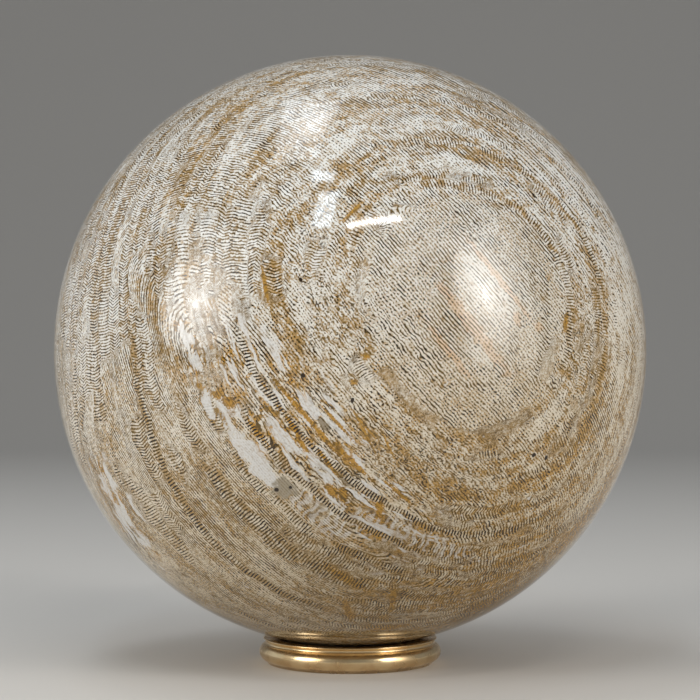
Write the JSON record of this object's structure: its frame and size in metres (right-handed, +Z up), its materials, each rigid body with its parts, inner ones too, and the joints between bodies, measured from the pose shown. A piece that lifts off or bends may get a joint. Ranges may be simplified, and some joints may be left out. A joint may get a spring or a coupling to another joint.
{
  "type": "fossil goniopora coral sphere on a ring stand",
  "caption": "Polished sphere of banded fossil goniopora coral, resting loose on a low turned brass ring that keeps it from rolling.",
  "frame": {"origin": "centre of the ring's flat foot, on the table", "axes": "+Z up through the centres of the ring and the sphere, +Y away from the viewer, with the coral's banded eye to the right of the front"},
  "size_m": [0.162, 0.162, 0.1667],
  "materials": {
    "coral": "high polish, cream and grey coral with brown skeletal lines and amber growth bands",
    "brass": "polished"
  },
  "bodies": {
    "root": {"coral_sphere": "coral", "ring_stand": "brass"}
  },
  "joints": []
}
